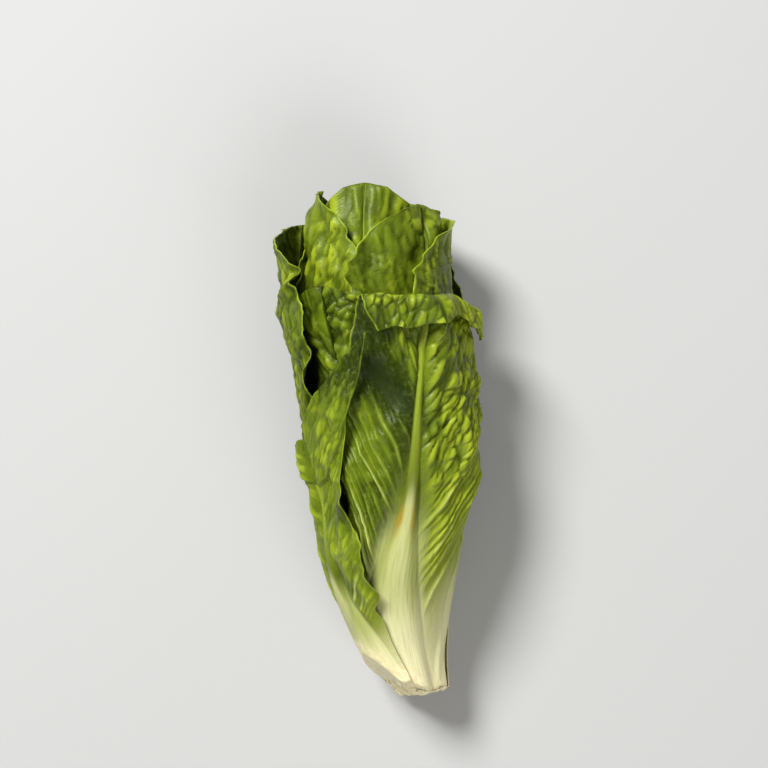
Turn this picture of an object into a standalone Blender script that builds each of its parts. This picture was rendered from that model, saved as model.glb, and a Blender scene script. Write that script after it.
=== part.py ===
# A romaine lettuce head, cut from the root and lying on its side. Metres, +Z up, tips towards +Y.
#
# Every leaf is worked out in the head's own coordinates: s, the share of the head's length from the
# cut, turn, the angle round the head's axis (0 faces up, a quarter turn faces +X), and r, the distance
# from that axis. The leaves are laid from the heart outwards. Each one rests on an envelope of the
# leaves inside it, so that no leaf crosses another.

import math
from dataclasses import dataclass, field

import bmesh
import bpy
import numpy as np

MM = 0.001

# The whole head
HEAD_LENGTH = 0.250
LEAVES = 16
GOLDEN_ANGLE = math.radians(137.5)
FIRST_TURN = math.radians(-66)
SEED = 11

# The head's outline: its radius, its axis above the surface and the axis's sideways bend, along s
OUTLINE_AT = (0.0, 0.03, 0.075, 0.15, 0.25, 0.40, 0.55, 0.70, 0.82, 0.92, 1.0)
OUTLINE_RADIUS = tuple(r * MM for r in (12, 14, 16.5, 24, 33, 38.5, 42, 44, 44, 41.5, 34))
AXIS_AT = (0.0, 0.2, 0.4, 0.6, 0.8, 1.0)
AXIS_HEIGHT = tuple(h * MM for h in (25, 30, 35, 36.5, 36.2, 35.5))
AXIS_SIDE = tuple(x * MM for x in (24, 14.5, 14.5, 9, 1, 1))
FLAT_BLEND = 5 * MM            # how softly the round outline goes over into the flat underside
SURFACE_PRESS = 0.8 * MM        # how far the lowest leaf is pressed flat where the head rests on it
LEAST_BLADE = 0.65 * MM

# The front leaf's tip, rolled outwards and folded back
ROLL_RADIUS = 4.2 * MM
MOST_ROLL = math.radians(188)
ROLL_DROP = 0.035              # the fold runs lower by this share of the length at the right margin
ROLL_DROP_FROM = 0.45          # it starts to drop this far from the rib to that margin

# The hollow that shows beside the front leaf's rib
HOLLOW_DEPTH = 6 * MM
HOLLOW_AT = 0.60
HOLLOW_TURN = math.radians(-3)
HOLLOW_LENGTH = 0.10
HOLLOW_WIDTH = math.radians(15)

# The stem's stump
STEM_RADIUS = 12.0 * MM
STEM_TOP_RADIUS = 2.0 * MM
STEM_SHOULDER = 8 * MM
STEM_HEIGHT = 34 * MM
STEM_SIDES = 28
STEM_START = -8 * MM            # below every knife cut

# The knife cuts through the stump, each a point from the middle of the cut and the way it faces
KNIVES = (
    ((0.0, -1.0 * MM, 0.0), (0.10, -1.0, 0.10)),
    ((-7.0 * MM, 0.5 * MM, 0.0), (-0.75, -0.80, 0.32)),
    ((8.0 * MM, -0.5 * MM, 0.0), (0.45, -0.95, 0.30)),
    ((1.0 * MM, -3.0 * MM, 4.0 * MM), (0.05, -0.85, 0.52)),
)
CUT_LEAVES = 6                 # so many of the outer leaves reach down to the knife cuts
CUT_RADIUS = 17 * MM            # about where those leaves' roots stand
CUT_BLEND = 0.2                # over this share of a leaf's length its root is drawn down to the cut

# Leaf sizes, from the outermost leaf to the innermost
HALF_WIDTH = (55 * MM, 17 * MM)
RIB_HALF_WIDTH = (15 * MM, 4.5 * MM)
RIB_THICKNESS = (4.4 * MM, 1.3 * MM)
BLADE_THICKNESS = (0.85 * MM, 0.7 * MM)
LAYER_SHARE = (1.0, 0.10)
ROOT_AT = (0.014, 0.126)
TIP_AT = (0.50, 0.90, 0.845, 0.92, 0.93, 0.79, 0.95, 0.95, 0.98, 0.965, 0.99, 0.985, 0.96, 0.91, 0.82, 0.68)
OUTER_LEAVES = 8

# A leaf's shape, along its length v from root to tip
WIDTH_AT = (0.0, 0.08, 0.2, 0.35, 0.5, 0.65, 0.78, 0.88, 0.95, 1.0)
WIDTH_SHARE = (0.33, 0.36, 0.46, 0.66, 0.86, 1.0, 0.97, 0.80, 0.55, 0.26)
RIB_AT = (0.0, 0.12, 0.25, 0.4, 0.6, 0.8, 1.0)
RIB_WIDTH_SHARE = (1.0, 0.98, 0.74, 0.38, 0.19, 0.12, 0.07)
RIB_THICKNESS_SHARE = (0.62, 1.0, 0.90, 0.64, 0.44, 0.28, 0.10)
RISE_AT = (0.0, 0.08, 0.25, 0.5, 0.75, 0.9, 1.0)
RISE_SHARE = (0.0, 0.30, 0.62, 0.68, 0.46, 0.14, -0.07)
RIB_COLUMN = 0.24              # the share of a half leaf's columns that cross the rib
MOST_WRAP = 2.55               # the furthest that a half leaf wraps round the axis, in radians
VEIN_RELIEF = 0.45 * MM        # the side veins stand this far out, and the blade between them sinks as far

# How the leaves lie on each other
GAP_AT_STEM = 0.6 * MM
GAP_AT_BLADE = 1.5 * MM
STEM_GAP = 0.35 * MM
FIELD_STEP = 2 * MM
FIELD_TURNS = 180


@dataclass
class Leaf:
    """One leaf's own measures. A side is 0 for the half towards falling turn and 1 for the other."""

    name: str
    order: int
    turn: float
    lean: float
    root: float
    tip: float
    share: float
    half_width: float
    rib_half_width: float
    rib_thickness: float
    blade: float
    veins: int
    wave: float
    waves: float
    phases: tuple
    flare: float
    width_sides: list = field(default_factory=lambda: [WIDTH_SHARE, WIDTH_SHARE])
    rise_sides: list = field(default_factory=lambda: [RISE_SHARE, RISE_SHARE])
    roll_from: float = 2.0


def smooth_curve(x, stations, values):
    """A cubic through the (station, value) pairs, its slope at each taken from the neighbours."""
    xs = np.asarray(stations, float)
    ys = np.asarray(values, float)
    slopes = np.gradient(ys, xs)
    x = np.clip(x, xs[0], xs[-1])
    i = np.clip(np.searchsorted(xs, x, side="right") - 1, 0, len(xs) - 2)
    h = xs[i + 1] - xs[i]
    t = (x - xs[i]) / h
    start = (2 * t**3 - 3 * t**2 + 1) * ys[i] + (t**3 - 2 * t**2 + t) * h * slopes[i]
    end = (3 * t**2 - 2 * t**3) * ys[i + 1] + (t**3 - t**2) * h * slopes[i + 1]
    return start + end


def smooth_step(x, low, high):
    t = np.clip((x - low) / (high - low), 0, 1)
    return t * t * (3 - 2 * t)


def soft_max(a, b, blend):
    return 0.5 * (a + b + np.sqrt((a - b) ** 2 + blend**2))


def soft_min(a, b, blend):
    return 0.5 * (a + b - np.sqrt((a - b) ** 2 + blend**2))


def wrapped(angle):
    return (angle + math.pi) % (2 * math.pi) - math.pi


def between(pair, share):
    return pair[0] + (pair[1] - pair[0]) * share


def round_radius(s):
    return smooth_curve(s, OUTLINE_AT, OUTLINE_RADIUS)


def outline_radius(s, turn):
    """The head's radius there: round, flat underneath where it lies, and dented at the hollow."""
    axis_height = smooth_curve(s, AXIS_AT, AXIS_HEIGHT)
    flat = axis_height / np.maximum(-np.cos(turn), 0.05)
    radius = soft_min(round_radius(s), flat, FLAT_BLEND)
    off = wrapped(turn - HOLLOW_TURN) / HOLLOW_WIDTH
    dent = HOLLOW_DEPTH * np.exp(-(((s - HOLLOW_AT) / HOLLOW_LENGTH) ** 2) - off**2)
    return radius - dent


def stem_radius(along):
    """The stump's radius at a height above the cut: a short cylinder, then a cone."""
    cone = (along - STEM_SHOULDER) / (STEM_HEIGHT - STEM_SHOULDER)
    return STEM_RADIUS + (STEM_TOP_RADIUS - STEM_RADIUS) * np.clip(cone, 0, 1) ** 0.9


def knife_height(turn, r):
    """How far along the head the highest of the knife cuts passes, at r from the axis."""
    x, z = r * np.sin(turn), r * np.cos(turn)
    found = np.full(np.shape(turn), STEM_START)
    for (px, py, pz), (nx, ny, nz) in KNIVES:
        found = np.maximum(found, py - (nx * (x - px) + nz * (z - pz)) / ny)
    return found


def in_place(s, turn, r):
    """From the head's own coordinates to metres, with the axis bent a little."""
    side = smooth_curve(s, AXIS_AT, AXIS_SIDE)
    height = smooth_curve(s, AXIS_AT, AXIS_HEIGHT)
    return np.stack([side + r * np.sin(turn), s * HEAD_LENGTH, height + r * np.cos(turn)], -1)


def make_leaves():
    """The leaves, outermost first, on a golden-angle spiral, with the visible ones set from the real head."""
    draw = np.random.default_rng(SEED)
    leaves = []
    for order in range(LEAVES):
        inward = order / (LEAVES - 1)
        spread = draw.uniform(-1, 1, 6)
        phases = tuple(draw.uniform(0, 2 * math.pi, 4))
        leaves.append(
            Leaf(
                name=f"leaf_{order + 1:02d}",
                order=order,
                turn=wrapped(FIRST_TURN - order * GOLDEN_ANGLE),
                lean=math.radians(14) * spread[0],
                root=between(ROOT_AT, inward),
                tip=TIP_AT[order],
                share=between(LAYER_SHARE, inward**1.25),
                half_width=between(HALF_WIDTH, inward**1.3) * (1 + 0.05 * spread[1]),
                rib_half_width=between(RIB_HALF_WIDTH, inward**0.9),
                rib_thickness=between(RIB_THICKNESS, inward**0.9),
                blade=between(BLADE_THICKNESS, inward),
                veins=12 if order < OUTER_LEAVES else 7,
                wave=(3.6 - 2.6 * inward) * MM * (1 + 0.25 * spread[2]),
                waves=6.5 + spread[3] if order < OUTER_LEAVES else 4.0 + 0.5 * spread[3],
                phases=phases,
                flare=(3.5 + 2.0 * spread[4]) * MM * (1 - inward),
            )
        )
    set_lobe_leaf(leaves[0])
    set_front_leaf(leaves[2])
    set_side_leaves(leaves[1], leaves[3], leaves[4], leaves[5])
    return leaves


def set_lobe_leaf(leaf):
    """The outermost leaf: narrow and frilled low down, then a lobe that folds over the front leaf."""
    leaf.lean = math.radians(-12)
    leaf.half_width = 54 * MM
    leaf.width_sides[0] = (0.33, 0.36, 0.46, 0.60, 0.70, 0.72, 0.62, 0.46, 0.32, 0.16)
    leaf.width_sides[1] = (0.30, 0.33, 0.42, 0.52, 0.48, 0.41, 0.56, 0.75, 0.88, 0.97)
    leaf.rise_sides[1] = (0.0, 0.20, 0.30, 0.40, 0.60, 0.80, 0.93)
    leaf.flare = 1.5 * MM


def set_front_leaf(leaf):
    """The leaf that faces up: its rib leans to +X, and its tip rolls outwards."""
    leaf.turn = math.radians(17)
    leaf.lean = math.radians(50)
    leaf.half_width = 50 * MM
    leaf.width_sides[0] = (0.34, 0.36, 0.50, 0.68, 0.76, 0.66, 0.60, 0.58, 0.58, 0.56)
    leaf.width_sides[1] = (0.40, 0.44, 0.58, 0.77, 0.93, 1.0, 0.96, 0.90, 0.82, 0.74)
    leaf.rise_sides[0] = (0.0, 0.30, 0.60, 0.62, 0.45, 0.20, 0.08)
    leaf.rise_sides[1] = (0.0, 0.30, 0.60, 0.62, 0.42, 0.08, -0.20)
    leaf.roll_from = 0.755
    leaf.flare = 0


def set_side_leaves(under, far_left, right, behind):
    """The far left one has a broad frill, two are held in at the right, and the one behind is narrower."""
    under.width_sides[0] = (0.33, 0.36, 0.46, 0.62, 0.72, 0.74, 0.70, 0.58, 0.42, 0.22)
    under.flare = 0
    under.wave = 1.5 * MM
    far_left.width_sides[1] = (0.33, 0.36, 0.46, 0.66, 0.90, 1.10, 1.10, 0.92, 0.66, 0.30)
    right.flare = 0
    behind.half_width = 45 * MM


def leaf_across(leaf, k, v, shares, stations):
    """shares holds a curve along v for each side; the result follows k's sign."""
    low = smooth_curve(v, stations, shares[0])
    high = smooth_curve(v, stations, shares[1])
    return np.where(k < 0, low, high)


def leaf_map(leaf, k, v):
    """Where the sheet's point (k, v) lies: s, turn, its distance from the rib, and its share of the width."""
    half = leaf.half_width * leaf_across(leaf, k, v, leaf.width_sides, WIDTH_AT)
    rib = leaf.rib_half_width * smooth_curve(v, RIB_AT, RIB_WIDTH_SHARE)
    across = np.abs(k)
    on_rib = rib * across / RIB_COLUMN
    on_blade = rib + (half - rib) * (across - RIB_COLUMN) / (1 - RIB_COLUMN)
    away = np.where(across < RIB_COLUMN, on_rib, on_blade)
    edge = away / half
    rise = leaf.half_width * leaf_across(leaf, k, v, leaf.rise_sides, RISE_AT)
    s = leaf.root + (leaf.tip - leaf.root) * v + rise * edge**1.15 / HEAD_LENGTH
    wrap_radius = np.maximum(leaf.share * round_radius(s), stem_radius(s * HEAD_LENGTH))
    wrap = MOST_WRAP * np.tanh(np.sign(k) * away / (wrap_radius * MOST_WRAP))
    turn = leaf.turn + leaf.lean * (s - 0.45) + wrap
    if leaf.order < CUT_LEAVES:
        cut = knife_height(turn, CUT_RADIUS) / HEAD_LENGTH
        s = s + (cut - leaf.root) * (1 - smooth_step(v, 0, CUT_BLEND))
    return s, turn, away, edge


def off_surface(turn):
    """1 round the head, and nearly 0 underneath, where the surface presses the leaves flat."""
    return 1 - 0.9 * smooth_step(-np.cos(turn), 0.2, 0.8)


def ripple(leaf, k, v, edge, s, turn):
    """Waves along the margin, never inwards."""
    side = (k > 0).astype(int)
    phase = np.where(side, leaf.phases[0], leaf.phases[1])
    wobble = 0.8 * np.sin(2 * math.pi * 1.7 * v + leaf.phases[2] + side)
    wave = 0.5 + 0.5 * np.sin(2 * math.pi * leaf.waves * v + phase + wobble)
    along = smooth_step(v, 0.12, 0.45)
    fold = roll_line(leaf, k)
    before_roll = 1 - smooth_step(s, fold - 0.07, fold - 0.01)
    return leaf.wave * wave * edge**2.4 * along * before_roll * off_surface(turn)


def thickness(leaf, k, v):
    """The blade, and the rib that swells out of its outer face."""
    rib = leaf.rib_thickness * smooth_curve(v, RIB_AT, RIB_THICKNESS_SHARE)
    profile = np.clip(1 - (np.abs(k) / RIB_COLUMN) ** 2, 0, 1) ** 0.8
    return leaf.blade + rib * profile


def vein_relief(leaf, k, v):
    """Side veins as ridges and the blade between them as hollows, one wave for each vein along v."""
    on_blade = smooth_step(np.abs(k), RIB_COLUMN, 0.5) * smooth_step(v, 0.1, 0.3)
    return VEIN_RELIEF * np.cos(2 * math.pi * leaf.veins * v) * on_blade


def sampled(heights, s, turn):
    """The height field at (s, turn), linear between its points."""
    row = np.clip(s * HEAD_LENGTH / FIELD_STEP, 0, heights.shape[0] - 1.001)
    column = (turn / (2 * math.pi) * FIELD_TURNS) % FIELD_TURNS
    i = row.astype(int)
    j = column.astype(int) % FIELD_TURNS
    a = row - i
    b = column - np.floor(column)
    right = (j + 1) % FIELD_TURNS
    low = heights[i, j] * (1 - b) + heights[i, right] * b
    high = heights[i + 1, j] * (1 - b) + heights[i + 1, right] * b
    return low * (1 - a) + high * a


def roll_line(leaf, k):
    """Where the tip folds back: lower towards the margin at k = 1."""
    return leaf.roll_from - ROLL_DROP * smooth_step(k, ROLL_DROP_FROM, 1.0)


def rolled(fold, s, turn, inner, outer):
    """Both faces as (s, turn, r). Past the fold the sheet bends outwards round a roller, then runs straight."""
    excess = np.maximum(s - fold, 0) * HEAD_LENGTH
    angle = np.minimum(excess / ROLL_RADIUS, MOST_ROLL)
    onward = excess - angle * ROLL_RADIUS
    faces = []
    for off in (0, outer - inner):
        reach = ROLL_RADIUS - off
        bent_s = fold + (reach * np.sin(angle) + onward * np.cos(angle)) / HEAD_LENGTH
        bent_r = inner + ROLL_RADIUS - reach * np.cos(angle) + onward * np.sin(angle)
        past = s > fold
        faces.append((np.where(past, bent_s, s), turn, np.where(past, bent_r, inner + off)))
    return faces


def leaf_sheet(leaf, k, v, envelope):
    """The leaf's inner and outer face at (k, v), each as s, turn and distance from the axis."""
    flat_s, turn, away, edge = leaf_map(leaf, k, v)
    fold = roll_line(leaf, k)
    s = np.minimum(flat_s, fold)
    target = leaf.share * outline_radius(s, turn)
    target = target + leaf.flare * smooth_step(v, 0.7, 1.0) * smooth_step(np.cos(turn), -0.6, 0.4)
    gap = between((GAP_AT_STEM, GAP_AT_BLADE), smooth_step(s, 0.12, 0.40))
    resting = sampled(envelope, s, turn) + gap
    inner = soft_max(target, resting, 1.0 * MM)
    inner = inner + ripple(leaf, k, v, edge, s, turn)
    relief = vein_relief(leaf, k, v) * off_surface(turn)
    inner = inner + (relief + VEIN_RELIEF) * smooth_step(s, 0.2, 0.4)
    slope_along = np.gradient(inner, axis=0) / (np.gradient(flat_s, axis=0) * HEAD_LENGTH)
    lean_out = np.sqrt(1 + np.clip(slope_along, -1.5, 1.5) ** 2)
    outer = inner + thickness(leaf, k, v) * lean_out
    faces = rolled(fold, flat_s, turn, inner, outer)
    if leaf.order < CUT_LEAVES:
        faces = [on_the_cut(*face) for face in faces]
    return faces


def on_the_cut(s, turn, r):
    """One face of a leaf with its root row on the knife cuts and nothing of it below them."""
    lowest = knife_height(turn, r) / HEAD_LENGTH
    s = np.maximum(s, lowest)
    s[0] = lowest[0]
    return s, turn, r


def dilated(heights, rows, columns):
    """Each point takes the largest value within that many rows and columns."""
    found = heights.copy()
    for step in range(1, columns + 1):
        found = np.maximum(found, np.maximum(np.roll(heights, step, 1), np.roll(heights, -step, 1)))
    spread = found.copy()
    for step in range(1, rows + 1):
        spread[step:] = np.maximum(spread[step:], found[:-step])
        spread[:-step] = np.maximum(spread[:-step], found[step:])
    return spread


def blurred(heights, rows, columns):
    """A mean over three neighbours, as many times each way as it may spread."""
    for _ in range(columns):
        heights = (heights + np.roll(heights, 1, 1) + np.roll(heights, -1, 1)) / 3
    for _ in range(rows):
        padded = np.pad(heights, ((1, 1), (0, 0)), mode="edge")
        heights = (padded[:-2] + padded[1:-1] + padded[2:]) / 3
    return heights


def envelope_over(heights):
    """A smooth surface that lies on or above the field: close at the stem, broader over the blades."""
    close = blurred(dilated(heights, 3, 6), 3, 6)
    broad = blurred(dilated(heights, 4, 4), 4, 4)
    s = np.arange(heights.shape[0]) * FIELD_STEP / HEAD_LENGTH
    share = smooth_step(s, 0.15, 0.40)[:, None]
    return close * (1 - share) + broad * share


def lay_leaves(leaves):
    """From the heart outwards, what each leaf rests on: a field of radii over (s, turn)."""
    rows = int(HEAD_LENGTH * 1.1 / FIELD_STEP)
    along = np.arange(rows) * FIELD_STEP
    stem = np.where(along < STEM_HEIGHT, stem_radius(along) + STEM_GAP - GAP_AT_STEM, 0.0)
    heights = np.repeat(stem[:, None], FIELD_TURNS, axis=1)
    k, v = np.meshgrid(np.linspace(-1, 1, 241), np.linspace(0, 1, 301))
    envelopes = {}
    for leaf in reversed(leaves):
        envelopes[leaf.name] = envelope_over(heights)
        for s, turn, r in leaf_sheet(leaf, k, v, envelopes[leaf.name]):
            row = np.clip(np.rint(s * HEAD_LENGTH / FIELD_STEP).astype(int), 0, rows - 1)
            column = np.rint(turn / (2 * math.pi) * FIELD_TURNS).astype(int) % FIELD_TURNS
            np.maximum.at(heights, (row, column), r)
    return envelopes


def leaf_columns(leaf):
    """The columns across a leaf, from margin to margin, with more of them on a large one."""
    on_rib, on_blade = (3, 4) if leaf.order < OUTER_LEAVES else (2, 3)
    rib = np.linspace(0, RIB_COLUMN, on_rib + 1)
    blade = np.linspace(RIB_COLUMN, 1, on_blade + 1)
    half = np.concatenate([rib, blade[1:]])
    return np.concatenate([-half[:0:-1], half])


def leaf_rows(leaf):
    """Two rows for each side vein: one on the vein and one in the hollow after it."""
    return np.linspace(0, 1, 2 * leaf.veins + 1)


def sheet_solid(inner, outer):
    """Vertices and triangles of a closed leaf, split alike on both faces."""
    rows, columns = inner.shape[:2]
    index = np.arange(rows * columns).reshape(rows, columns)
    a, b = index[:-1, :-1].ravel(), index[:-1, 1:].ravel()
    c, d = index[1:, 1:].ravel(), index[1:, :-1].ravel()
    face = np.concatenate([np.stack([a, b, c], 1), np.stack([a, c, d], 1)])
    rim = np.concatenate([index[0, :], index[1:, -1], index[-1, -2::-1], index[-2:0:-1, 0]])
    after = np.roll(rim, -1)
    shift = rows * columns
    wall = np.concatenate(
        [np.stack([rim, after + shift, rim + shift], 1), np.stack([rim, after, after + shift], 1)]
    )
    faces = np.concatenate([face + shift, face[:, ::-1], wall])
    return np.concatenate([inner.reshape(-1, 3), outer.reshape(-1, 3)]), faces


def plain_material(name, colour, roughness):
    material = bpy.data.materials.new(name)
    material.use_nodes = True
    shader = material.node_tree.nodes["Principled BSDF"]
    shader.inputs["Base Color"].default_value = (*colour, 1)
    shader.inputs["Roughness"].default_value = roughness
    shader.inputs["Metallic"].default_value = 0
    return material


def new_object(name, points, faces, material):
    mesh = bpy.data.meshes.new(name)
    mesh.from_pydata(points.tolist(), [], faces.tolist())
    mesh.materials.append(material)
    mesh.shade_smooth()
    mesh.set_sharp_from_angle(angle=math.radians(50))
    obj = bpy.data.objects.new(name, mesh)
    bpy.context.scene.collection.objects.link(obj)
    return obj


def facing_out(points, faces):
    """The faces turned so that the closed mesh has a positive volume."""
    corners = points[faces]
    volume = np.einsum("ij,ij->i", corners[:, 0], np.cross(corners[:, 1], corners[:, 2])).sum()
    return faces if volume > 0 else faces[:, ::-1]


def make_leaf(leaf, envelope, material):
    k, v = np.meshgrid(leaf_columns(leaf), leaf_rows(leaf))
    inner, outer = (in_place(*face) for face in leaf_sheet(leaf, k, v, envelope))
    points, faces = sheet_solid(inner, outer)
    return new_object(leaf.name, points, facing_out(points, faces), material)


def make_stem(material):
    """The stump: a turned cylinder and cone, trimmed by the knife cuts."""
    mesh = bpy.data.meshes.new("stem_butt")
    shape = bmesh.new()
    heights = np.concatenate(
        [[STEM_START, 0, STEM_SHOULDER], np.linspace(STEM_SHOULDER, STEM_HEIGHT, 5)[1:]]
    )
    rings = []
    for along in heights:
        s = along / HEAD_LENGTH
        turns = np.arange(STEM_SIDES) * 2 * math.pi / STEM_SIDES
        radius = stem_radius(along) - STEM_GAP
        ring = in_place(np.full(STEM_SIDES, s), turns, np.full(STEM_SIDES, radius))
        ring[:, 1] = along
        rings.append([shape.verts.new(point) for point in ring])
    for low, high in zip(rings, rings[1:]):
        for i in range(STEM_SIDES):
            j = (i + 1) % STEM_SIDES
            shape.faces.new((low[i], low[j], high[j], high[i]))
    shape.faces.new(rings[0][::-1])
    shape.faces.new(rings[-1])
    bmesh.ops.recalc_face_normals(shape, faces=shape.faces)
    middle = in_place(np.array(0.0), np.array(0.0), np.array(0.0))
    for offset, normal in KNIVES:
        everything = shape.verts[:] + shape.edges[:] + shape.faces[:]
        point = [m + o for m, o in zip(middle, offset)]
        cut = bmesh.ops.bisect_plane(
            shape, geom=everything, plane_co=point, plane_no=normal, clear_outer=True, dist=1e-6
        )
        edges = [part for part in cut["geom_cut"] if isinstance(part, bmesh.types.BMEdge)]
        bmesh.ops.holes_fill(shape, edges=edges, sides=0)
    bmesh.ops.recalc_face_normals(shape, faces=shape.faces)
    bmesh.ops.triangulate(shape, faces=shape.faces)
    shape.to_mesh(mesh)
    shape.free()
    mesh.materials.append(material)
    mesh.shade_smooth()
    mesh.set_sharp_from_angle(angle=math.radians(30))
    obj = bpy.data.objects.new("stem_butt", mesh)
    bpy.context.scene.collection.objects.link(obj)
    return obj


def set_down(objects):
    """Moves the head so that it lies on z = 0, centred on the origin, with its lowest leaf pressed flat.

    The first half of a leaf's vertices is its inner face, which stays above the pressed outer one."""
    points = {}
    for obj in objects:
        flat = np.empty(len(obj.data.vertices) * 3, np.float32)
        obj.data.vertices.foreach_get("co", flat)
        points[obj.name] = flat.reshape(-1, 3).astype(float)
    everything = np.concatenate(list(points.values()))
    low, high = everything.min(0), everything.max(0)
    shift = np.array([(low[0] + high[0]) / 2, (low[1] + high[1]) / 2, low[2] + SURFACE_PRESS])
    for obj in objects:
        moved = points[obj.name] - shift
        least = np.where(np.arange(len(moved)) < len(moved) // 2, LEAST_BLADE, 0)
        moved[:, 2] = np.maximum(moved[:, 2], least)
        obj.data.vertices.foreach_set("co", moved.astype(np.float32).ravel())
        obj.data.update()


def main():
    for obj in list(bpy.data.objects):
        bpy.data.objects.remove(obj)
    leaves = make_leaves()
    envelopes = lay_leaves(leaves)
    outer_green = plain_material("outer_leaf", (0.16, 0.24, 0.035), 0.5)
    inner_green = plain_material("inner_leaf", (0.36, 0.45, 0.10), 0.5)
    cream = plain_material("stem", (0.72, 0.68, 0.42), 0.6)
    objects = [make_stem(cream)]
    for leaf in leaves:
        material = outer_green if leaf.order < OUTER_LEAVES else inner_green
        objects.append(make_leaf(leaf, envelopes[leaf.name], material))
    set_down(objects)


main()
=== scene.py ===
import math
import bpy
import numpy as np
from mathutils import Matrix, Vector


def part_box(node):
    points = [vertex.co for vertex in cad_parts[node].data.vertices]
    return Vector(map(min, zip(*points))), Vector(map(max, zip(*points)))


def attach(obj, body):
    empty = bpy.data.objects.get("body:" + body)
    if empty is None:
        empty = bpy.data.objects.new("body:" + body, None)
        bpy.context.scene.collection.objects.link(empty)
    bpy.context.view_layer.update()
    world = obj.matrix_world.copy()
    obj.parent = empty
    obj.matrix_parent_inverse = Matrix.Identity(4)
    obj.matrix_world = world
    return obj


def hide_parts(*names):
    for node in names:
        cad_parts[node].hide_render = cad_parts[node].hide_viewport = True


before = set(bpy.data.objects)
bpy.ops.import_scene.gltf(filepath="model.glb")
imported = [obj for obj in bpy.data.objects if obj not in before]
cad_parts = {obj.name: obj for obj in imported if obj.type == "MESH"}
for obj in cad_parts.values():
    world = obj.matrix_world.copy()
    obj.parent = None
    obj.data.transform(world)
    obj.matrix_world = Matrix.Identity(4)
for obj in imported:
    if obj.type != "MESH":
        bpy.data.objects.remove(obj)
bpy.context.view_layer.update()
print("frame loaded")

mm = 0.001

# Curves and noise

def smoothCurve(x, stations, values):
    # a cubic through the (station, value) pairs, its slope at each taken from the neighbours
    xs, ys = np.asarray(stations, float), np.asarray(values, float)
    slopes = np.gradient(ys, xs)
    x = np.clip(x, xs[0], xs[-1])
    i = np.clip(np.searchsorted(xs, x, side="right") - 1, 0, len(xs) - 2)
    h = xs[i + 1] - xs[i]
    t = (x - xs[i]) / h
    start = (2 * t**3 - 3 * t**2 + 1) * ys[i] + (t**3 - 2 * t**2 + t) * h * slopes[i]
    return start + (3 * t**2 - 2 * t**3) * ys[i + 1] + (t**3 - t**2) * h * slopes[i + 1]


def smoothStep(x, low, high):
    # 3t^2 - 2t^3, where t is the share of the way from low to high
    t = np.clip((x - low) / (high - low), 0, 1)
    return t * t * (3 - 2 * t)


def softMax(a, b, blend):
    # the larger value with its corner rounded: the mean plus half the root of (a - b)^2 + blend^2
    return 0.5 * (a + b + np.sqrt((a - b) ** 2 + blend**2))


def softMin(a, b, blend):
    # the smaller value with its corner rounded, in the same way
    return 0.5 * (a + b - np.sqrt((a - b) ** 2 + blend**2))


def wrapped(angle):
    # the same angle, between half a turn back and half a turn on
    return (angle + math.pi) % (2 * math.pi) - math.pi


def between(pair, share):
    # the value at that share of the way from the first to the second
    return pair[0] + (pair[1] - pair[0]) * share


# Large odd factors and the 32 bits that scattered keeps of their products
mixing = {"i": 374761393, "j": 668265263, "seed": 1442695041, "again": 1274126177, "bits": 0xFFFFFFFF}


def scattered(i, j, seed):
    # a fixed number from 0 to 1 for each pair of whole numbers: their bits mixed by two products
    i, j = i.astype(np.int64), j.astype(np.int64)
    mixed = (i * mixing["i"] + j * mixing["j"] + seed * mixing["seed"]) & mixing["bits"]
    mixed = ((mixed ^ (mixed >> 13)) * mixing["again"]) & mixing["bits"]
    return (mixed ^ (mixed >> 16)) / mixing["bits"]


def waviness(x, y, seed):
    # smooth noise from -1 to 1: scattered values on a unit lattice, blended with a cubic step
    i, j = np.floor(x), np.floor(y)
    a, b = x - i, y - j
    a, b = a * a * (3 - 2 * a), b * b * (3 - 2 * b)
    low = scattered(i, j, seed) * (1 - a) + scattered(i + 1, j, seed) * a
    high = scattered(i, j + 1, seed) * (1 - a) + scattered(i + 1, j + 1, seed) * a
    return 2 * (low * (1 - b) + high * b) - 1


def cells(x, y, seed, jitter=0.8):
    # distance to the nearest and second nearest of one jittered point per unit square, and its number
    i, j = np.floor(x), np.floor(y)
    nearest = np.full(x.shape, np.inf)
    second = np.full(x.shape, np.inf)
    owner = np.zeros(x.shape)
    for di in (-1, 0, 1):
        for dj in (-1, 0, 1):
            px = i + di + 0.5 + jitter * (scattered(i + di, j + dj, seed) - 0.5)
            py = j + dj + 0.5 + jitter * (scattered(i + di, j + dj, seed + 7) - 0.5)
            far = np.hypot(x - px, y - py)
            closer = far < nearest
            second = np.where(closer, nearest, np.minimum(second, far))
            owner = np.where(closer, scattered(i + di, j + dj, seed + 13), owner)
            nearest = np.where(closer, far, nearest)
    return nearest, second, owner


# The head's outline

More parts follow.
